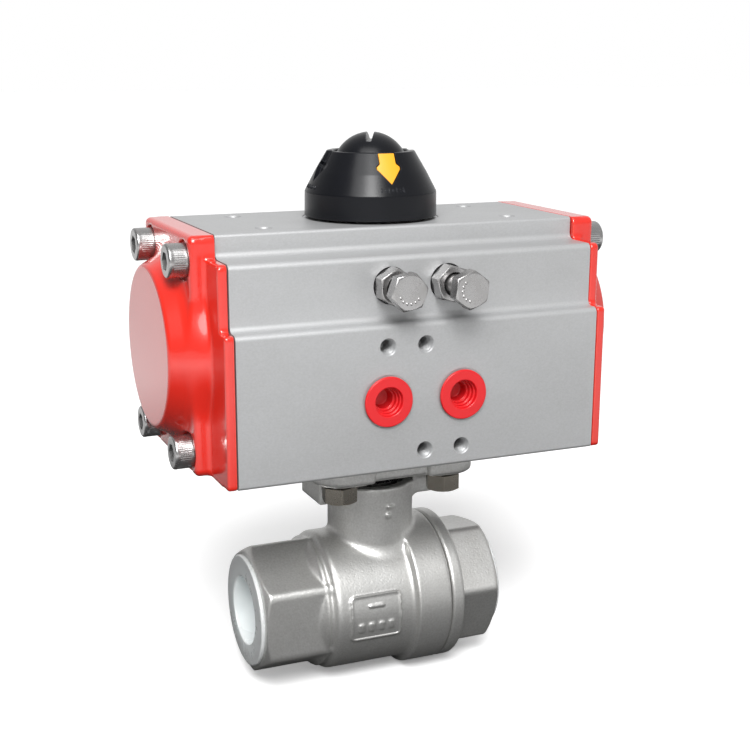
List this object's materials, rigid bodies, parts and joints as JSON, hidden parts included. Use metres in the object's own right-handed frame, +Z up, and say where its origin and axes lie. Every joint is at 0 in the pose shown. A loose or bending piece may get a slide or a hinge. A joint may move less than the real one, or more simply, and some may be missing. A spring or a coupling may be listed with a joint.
{
  "type": "pneumatic actuated ball valve",
  "caption": "Quarter-turn threaded ball valve with a rack-and-pinion air actuator mounted directly on it, a domed position indicator and travel stop bolts.",
  "frame": {"origin": "centre of the ball, where the pipe axis crosses the spindle axis", "axes": "+X along the pipe towards the screwed-in body cap, -Y towards the air ports, +Z up the spindle towards the indicator"},
  "size_m": [0.144, 0.086, 0.1754],
  "materials": {
    "anodised_aluminium": "extruded, blasted and clear anodised",
    "cast_aluminium": "die cast and machined",
    "red_paint": "gloss powder coat on die cast aluminium",
    "bright_steel": "stainless fastener, rolled and turned",
    "dark_steel": "dull, oiled",
    "plated_steel": "hobbed, nickel plated",
    "cast_stainless": "investment cast, shot blasted",
    "polished_stainless": "ground and polished",
    "black_rubber": "moulded nitrile",
    "white_acetal": "moulded acetal",
    "ptfe": "turned PTFE",
    "black_plastic": "moulded, satin gloss",
    "yellow_plastic": "moulded insert",
    "red_plastic": "moulded soft plastic",
    "clear_plastic": "translucent moulded polyethylene"
  },
  "bodies": {
    "housing": {"actuator_body": "anodised_aluminium", "end_cap_left": "red_paint", "end_cap_right": "red_paint", "cap_screw_left_1": "bright_steel", "cap_screw_left_2": "bright_steel", "cap_screw_left_3": "bright_steel", "cap_screw_left_4": "bright_steel", "cap_screw_right_1": "bright_steel", "cap_screw_right_2": "bright_steel", "cap_screw_right_3": "bright_steel", "cap_screw_right_4": "bright_steel", "end_cap_seal_left": "black_rubber", "end_cap_seal_right": "black_rubber", "pinion_bearing_bottom": "white_acetal", "pinion_bearing_top": "white_acetal", "thrust_washer": "white_acetal", "lock_nut_left": "bright_steel", "lock_nut_right": "bright_steel", "stop_seal_left": "black_rubber", "stop_seal_right": "black_rubber", "valve_body": "cast_stainless", "body_cap": "cast_stainless", "body_seal": "ptfe", "seat_left": "ptfe", "seat_right": "ptfe", "stem_thrust_seal": "ptfe", "stem_packing": "ptfe", "packing_gland": "polished_stainless", "mounting_bolt_1": "dark_steel", "mounting_bolt_2": "dark_steel", "mounting_bolt_3": "dark_steel", "mounting_bolt_4": "dark_steel"},
    "spindle": {"pinion": "plated_steel", "stop_cam": "dark_steel", "pinion_seal_bottom": "black_rubber", "pinion_seal_top": "black_rubber", "snap_ring": "dark_steel", "position_indicator": "black_plastic", "indicator_screw": "black_plastic", "arrow_front": "yellow_plastic", "arrow_back": "yellow_plastic", "stem": "polished_stainless", "ball": "polished_stainless", "spring_washer_lower": "bright_steel", "spring_washer_upper": "bright_steel", "stem_nut": "bright_steel"},
    "piston_left": {"piston_left": "cast_aluminium", "piston_seal_left": "black_rubber", "rack_pad_left": "white_acetal"},
    "piston_right": {"piston_right": "cast_aluminium", "piston_seal_right": "black_rubber", "rack_pad_right": "white_acetal"},
    "stop_bolt_left": {"stop_bolt_left": "bright_steel"},
    "stop_bolt_right": {"stop_bolt_right": "bright_steel"},
    "port_plug_left": {"port_plug_left": "red_plastic"},
    "port_plug_right": {"port_plug_right": "red_plastic"},
    "pipe_plug_left": {"pipe_plug_left": "clear_plastic"},
    "pipe_plug_right": {"pipe_plug_right": "clear_plastic"}
  },
  "joints": [
    {"name": "spindle_turn", "type": "hinge", "parent": "housing", "child": "spindle", "pos_m": [0, 0, 0.0896], "axis": [0, 0, 1], "range_deg": [0, 90]},
    {"name": "piston_slide_right", "type": "slide", "parent": "housing", "child": "piston_right", "axis": [1, 0, 0], "range_m": [0, 0.01885]},
    {"name": "piston_slide_left", "type": "slide", "parent": "housing", "child": "piston_left", "axis": [-1, 0, 0], "range_m": [0, 0.01885]},
    {"name": "stop_bolt_adjust_left", "type": "slide", "parent": "housing", "child": "stop_bolt_left", "axis": [0, -1, 0], "range_m": [0, 0.004]},
    {"name": "stop_bolt_adjust_right", "type": "slide", "parent": "housing", "child": "stop_bolt_right", "axis": [0, -1, 0], "range_m": [0, 0.004]},
    {"name": "port_plug_pull_left", "type": "slide", "parent": "housing", "child": "port_plug_left", "axis": [0, -1, 0], "range_m": [0, 0.014]},
    {"name": "port_plug_pull_right", "type": "slide", "parent": "housing", "child": "port_plug_right", "axis": [0, -1, 0], "range_m": [0, 0.014]},
    {"name": "pipe_plug_pull_left", "type": "slide", "parent": "housing", "child": "pipe_plug_left", "axis": [-1, 0, 0], "range_m": [0, 0.014]},
    {"name": "pipe_plug_pull_right", "type": "slide", "parent": "housing", "child": "pipe_plug_right", "axis": [1, 0, 0], "range_m": [0, 0.014]}
  ],
  "couplings": [
    {"joint": "piston_slide_right", "follows": "spindle_turn", "m_per_rad": 0.012},
    {"joint": "piston_slide_left", "follows": "spindle_turn", "m_per_rad": 0.012}
  ]
}
